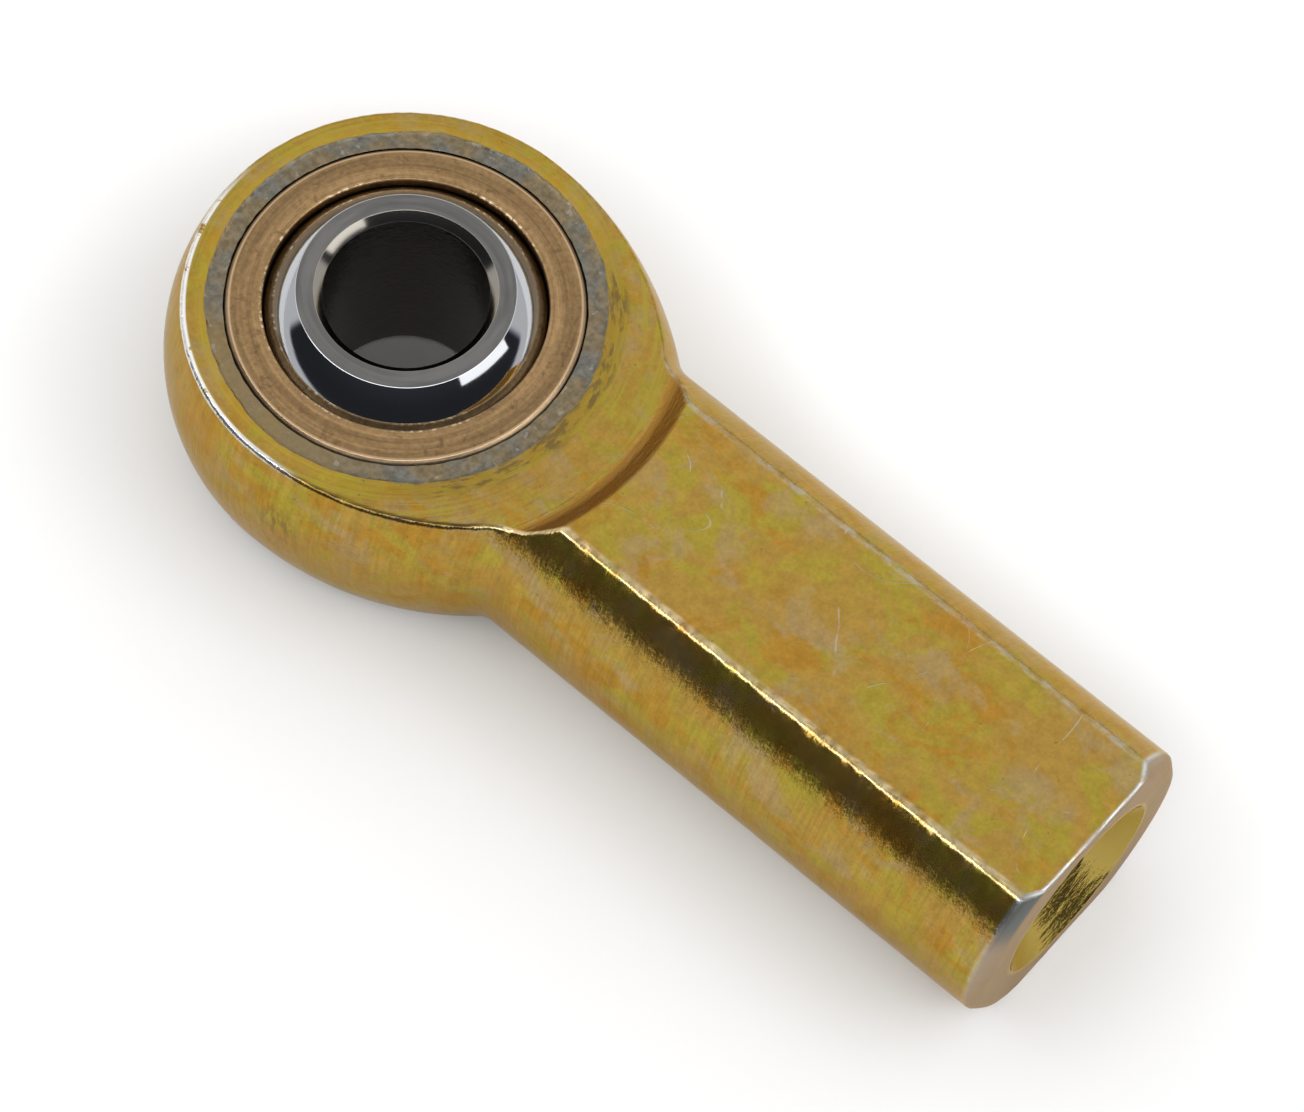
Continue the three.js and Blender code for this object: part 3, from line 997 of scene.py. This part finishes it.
# ================================================================ bronze, chrome and floor
def race_bronze():
    g = Graph("race_bronze")
    lines = g.lines(g.facing, 6.0, 0.25)
    bands = g.lines(g.facing, 1.6, 0.05)
    tone = g.mix(g.noise(g.place, 0.8, detail=3.0), BRONZE_DARK, BRONZE_LIGHT)
    tone = g.shaded(tone, lines, 0.78, 1.12)
    tone = g.scaled(tone, g.step(bands, 0.35, 0.65, to_low=0.78, to_high=1.14))
    smears = g.noise(g.shifted((9.0, 2.0, 0.0)), 1.6, detail=5.0, roughness=0.7, distortion=0.5)
    tone = g.mix(g.times(g.step(smears, 0.55, 0.66), 0.55), tone, BRONZE_SMEAR)
    tone = g.shaded(tone, g.noise(g.place, 6.0, detail=3.0, roughness=0.6), 0.88, 1.14)
    tone = bronze_edges(g, tone)
    normal = g.bump(lines, 0.010 * MM)
    normal = g.bump(g.noise(g.place, 4.0, detail=3.0), 0.010 * MM, normal)
    return g.finish(Base_Color=tone, Metallic=1.0, Roughness=0.34, Normal=normal)


def bronze_edges(g, tone):
    """Painted glints on the mouth's corner, a painted highlight on the outer lip, and painted shade
    with dirt on the rim against the head.
    """
    mouth = g.times(g.step(g.facing, RACE_OPENING_RADIUS + 0.14, RACE_OPENING_RADIUS + 0.06),
                    g.step(g.unsigned(g.z), FACE_Z - 0.14, FACE_Z - 0.08))
    # painted glints: bright specks on the mouth's corner, in patches
    glints = g.times(g.step(g.noise(g.place, 5.0, detail=2.0), 0.50, 0.58),
                     g.step(g.noise(g.place, 0.4, detail=2.0), 0.42, 0.58))
    tone = g.mix(g.times(glints, mouth), tone, BRONZE_GLINT)
    # painted highlight: a brighter band round the race's outer lip
    lip = g.step(g.facing, RACE_FACE_RADIUS - 0.10, RACE_FACE_RADIUS - 0.03)
    tone = g.mix(g.times(lip, 0.6), tone, BRONZE_LIP_HIGHLIGHT)
    # painted shade and dirt: the race's rim darkened where it sits against the head
    rim = g.step(g.facing, RACE_FACE_RADIUS + 0.06, RACE_FACE_RADIUS + 0.13)
    return g.mix(g.times(rim, 0.9), tone, SEAM_SHADE_AND_DIRT)


def hard_chrome():
    """Polished chrome, with dull ground faces, bright chamfers and a dark honed bore whose colour
    also carries painted shade.
    """
    g = Graph("hard_chrome")
    ground = g.mask("ground")
    chamfer = g.mask("chamfer")
    bore = g.mask("bore")
    grey = g.mix(g.noise(g.place, 0.9, detail=3.0, roughness=0.6), GROUND_DARK, GROUND_LIGHT)
    colour = g.mix(ground, CHROME, grey)
    colour = g.mix(chamfer, colour, BORE_CHAMFER_STEEL)
    # dark steel of the honed bore, darkened further as painted shade
    colour = g.mix(bore, colour, BORE_STEEL_AND_SHADE)
    shades = g.step(g.lines(g.facing, 2.2, 0.35), 0.32, 0.68, to_low=0.82, to_high=1.18)
    colour = g.scaled(colour, g.blend(ground, 1.0, shades))
    hone = g.noise(g.combine(g.times(g.z, 2.0), g.x, g.y), 2.2, detail=4.0, roughness=0.7)
    circles = g.times(g.lines(g.facing, 8.0, 0.5), g.blend(ground, 0.0006, 0.003))
    height = g.math("ADD", circles, g.times(hone, g.times(bore, 0.035)))
    rough = g.blend(ground, g.blend(chamfer, 0.06, 0.13), 0.33)
    rough = g.blend(bore, rough, 0.22)
    return g.finish(Base_Color=colour, Metallic=1.0, Roughness=rough, Normal=g.bump(height, MM))


def floor_white():
    g = Graph("floor_white")
    tint = g.mix(g.noise(g.place, 0.02, detail=2.0), FLOOR_DARK, FLOOR_LIGHT)
    return g.finish(Base_Color=tint, Roughness=0.9)


# ================================================================ assembling
def dress(piece, material, slot, body, *nodes):
    piece.data.materials.clear()
    piece.data.materials.append(material)
    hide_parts(*nodes)
    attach(piece, body)


def build_object():
    bronze = race_bronze()
    dress(rod_end_body(), yellow_zinc(), "yellow_zinc_steel", "rod_end", "rod_end_body")
    dress(race_half("upper_race_fine", 1), bronze, "race_bronze", "rod_end", "upper_race_half")
    dress(race_half("lower_race_fine", -1), bronze, "race_bronze", "rod_end", "lower_race_half")
    dress(ball(), hard_chrome(), "hard_chrome", "ball", "ball")


# ================================================================ studio
CAMERA_AZIMUTH = math.radians(34.89)
CAMERA_ELEVATION = math.radians(63.27)
CAMERA_ROLL = math.radians(6.76)
CAMERA_DISTANCE = 180.0
CAMERA_LENS = 131.35
CAMERA_CLIP_START = 0.01
CAMERA_AIM = (12.806, -0.241)

FLOOR_HALF = 1.2
ROOM_AZIMUTH = math.radians(-50)
HORIZON_LEVEL = 0.71
TENT_LEVEL = 1.10
CEILING_LEVEL = 4.1
ZENITH_SHARE = 0.5
ABOVE_ROOM_SHARE = 0.6
ROOM_SHARE = 0.038

# directions are (azimuth, elevation) in degrees, lengths are metres
SOFTBOX_LEFT = (-5, 25)
SOFTBOX_RIGHT = (37, 13.6)
SOFTBOX_HEIGHT = 0.25
SOFTBOX_DISTANCE = 0.8
SOFTBOX_RADIANCE = 1.7


def add_camera():
    a, e = CAMERA_AZIMUTH, CAMERA_ELEVATION
    back = Vector((math.sin(a) * math.cos(e), -math.cos(a) * math.cos(e), math.sin(e)))
    right = Vector((math.cos(a), math.sin(a), 0))
    up = back.cross(right)
    rolled_right = right * math.cos(CAMERA_ROLL) + up * math.sin(CAMERA_ROLL)
    rolled_up = back.cross(rolled_right)
    target = BALL_CENTRE + Vector((*CAMERA_AIM, 0)) * MM
    data = bpy.data.cameras.new("camera")
    data.lens = CAMERA_LENS
    data.clip_start = CAMERA_CLIP_START
    camera = bpy.data.objects.new("camera", data)
    bpy.context.scene.collection.objects.link(camera)
    axes = Matrix((rolled_right, rolled_up, back)).transposed().to_4x4()
    camera.matrix_world = Matrix.Translation(target + back * CAMERA_DISTANCE * MM) @ axes
    bpy.context.scene.camera = camera


def add_floor():
    half = FLOOR_HALF
    corners = [(-half, -half, 0), (half, -half, 0), (half, half, 0), (-half, half, 0)]
    mesh = bpy.data.meshes.new("floor")
    mesh.from_pydata(corners, [], [(0, 1, 2, 3)])
    mesh.materials.append(floor_white())
    floor = bpy.data.objects.new("floor", mesh)
    bpy.context.scene.collection.objects.link(floor)


def add_world():
    world = bpy.data.worlds.new("studio")
    world.use_nodes = True
    n = Nodes(world.node_tree)
    room, level = studio_light(n)
    colour = n.mix(room, WHITE, ROOM_BLUE)
    background = n.node("ShaderNodeBackground", Color=colour, Strength=level)
    n.node("ShaderNodeOutputWorld", Surface=background.outputs[0])
    bpy.context.scene.world = world


def studio_light(n):
    """A plain studio: pale tent behind, a dim room in front and a bright ceiling above it."""
    ray = n.node("ShaderNodeTexCoord").outputs["Generated"]
    x, y, z = n.node("ShaderNodeSeparateXYZ", Vector=ray).outputs
    towards_room = n.math("ADD", n.times(x, math.cos(ROOM_AZIMUTH)),
                          n.times(y, math.sin(ROOM_AZIMUTH)))
    room_side = n.step(towards_room, -0.22, -0.06)
    room = n.times(room_side, n.step(z, 0.06, 0.11), n.step(z, 0.62, 0.74, to_low=1.0, to_high=0.0))
    tent = n.step(z, 0.3, 0.65, to_low=HORIZON_LEVEL, to_high=TENT_LEVEL)
    ceiling = n.step(room_side, 0.0, 1.0, to_low=TENT_LEVEL, to_high=CEILING_LEVEL)
    band = n.times(n.step(z, 0.62, 0.74), n.step(z, 0.80, 0.90, to_low=1.0, to_high=0.0))
    above_room = n.times(room_side, n.step(z, 0.87, 0.93))
    level = n.times(n.either(tent, n.times(ceiling, band)),
                    n.step(above_room, 0.0, 1.0, to_low=1.0, to_high=ABOVE_ROOM_SHARE),
                    n.step(z, 0.93, 0.97, to_low=1.0, to_high=ZENITH_SHARE),
                    n.step(room, 0.0, 1.0, to_low=1.0, to_high=ROOM_SHARE))
    return room, level


def direction(azimuth, elevation):
    a, e = math.radians(azimuth), math.radians(elevation)
    return Vector((math.cos(a) * math.cos(e), math.sin(a) * math.cos(e), math.sin(e)))


def add_softbox():
    """A flat lamp that stands on the line between its two lower corners' directions."""
    left = direction(*SOFTBOX_LEFT) * SOFTBOX_DISTANCE
    right = direction(*SOFTBOX_RIGHT) * SOFTBOX_DISTANCE
    along = (right - left).normalized()
    middle = (left + right) / 2
    away = (middle - along * middle.dot(along)).normalized()
    up = away.cross(along)
    data = bpy.data.lights.new("softbox_right", "AREA")
    data.shape = "RECTANGLE"
    data.size = (right - left).length
    data.size_y = SOFTBOX_HEIGHT
    data.energy = SOFTBOX_RADIANCE * math.pi * data.size * data.size_y
    light = bpy.data.objects.new("softbox_right", data)
    axes = Matrix((along, up, away)).transposed().to_4x4()
    place = BALL_CENTRE + middle + up * SOFTBOX_HEIGHT / 2
    light.matrix_world = Matrix.Translation(place) @ axes
    bpy.context.scene.collection.objects.link(light)


def build_studio():
    add_camera()
    add_floor()
    add_world()
    add_softbox()
    bpy.context.scene.view_settings.view_transform = "Standard"


build_studio()
build_object()
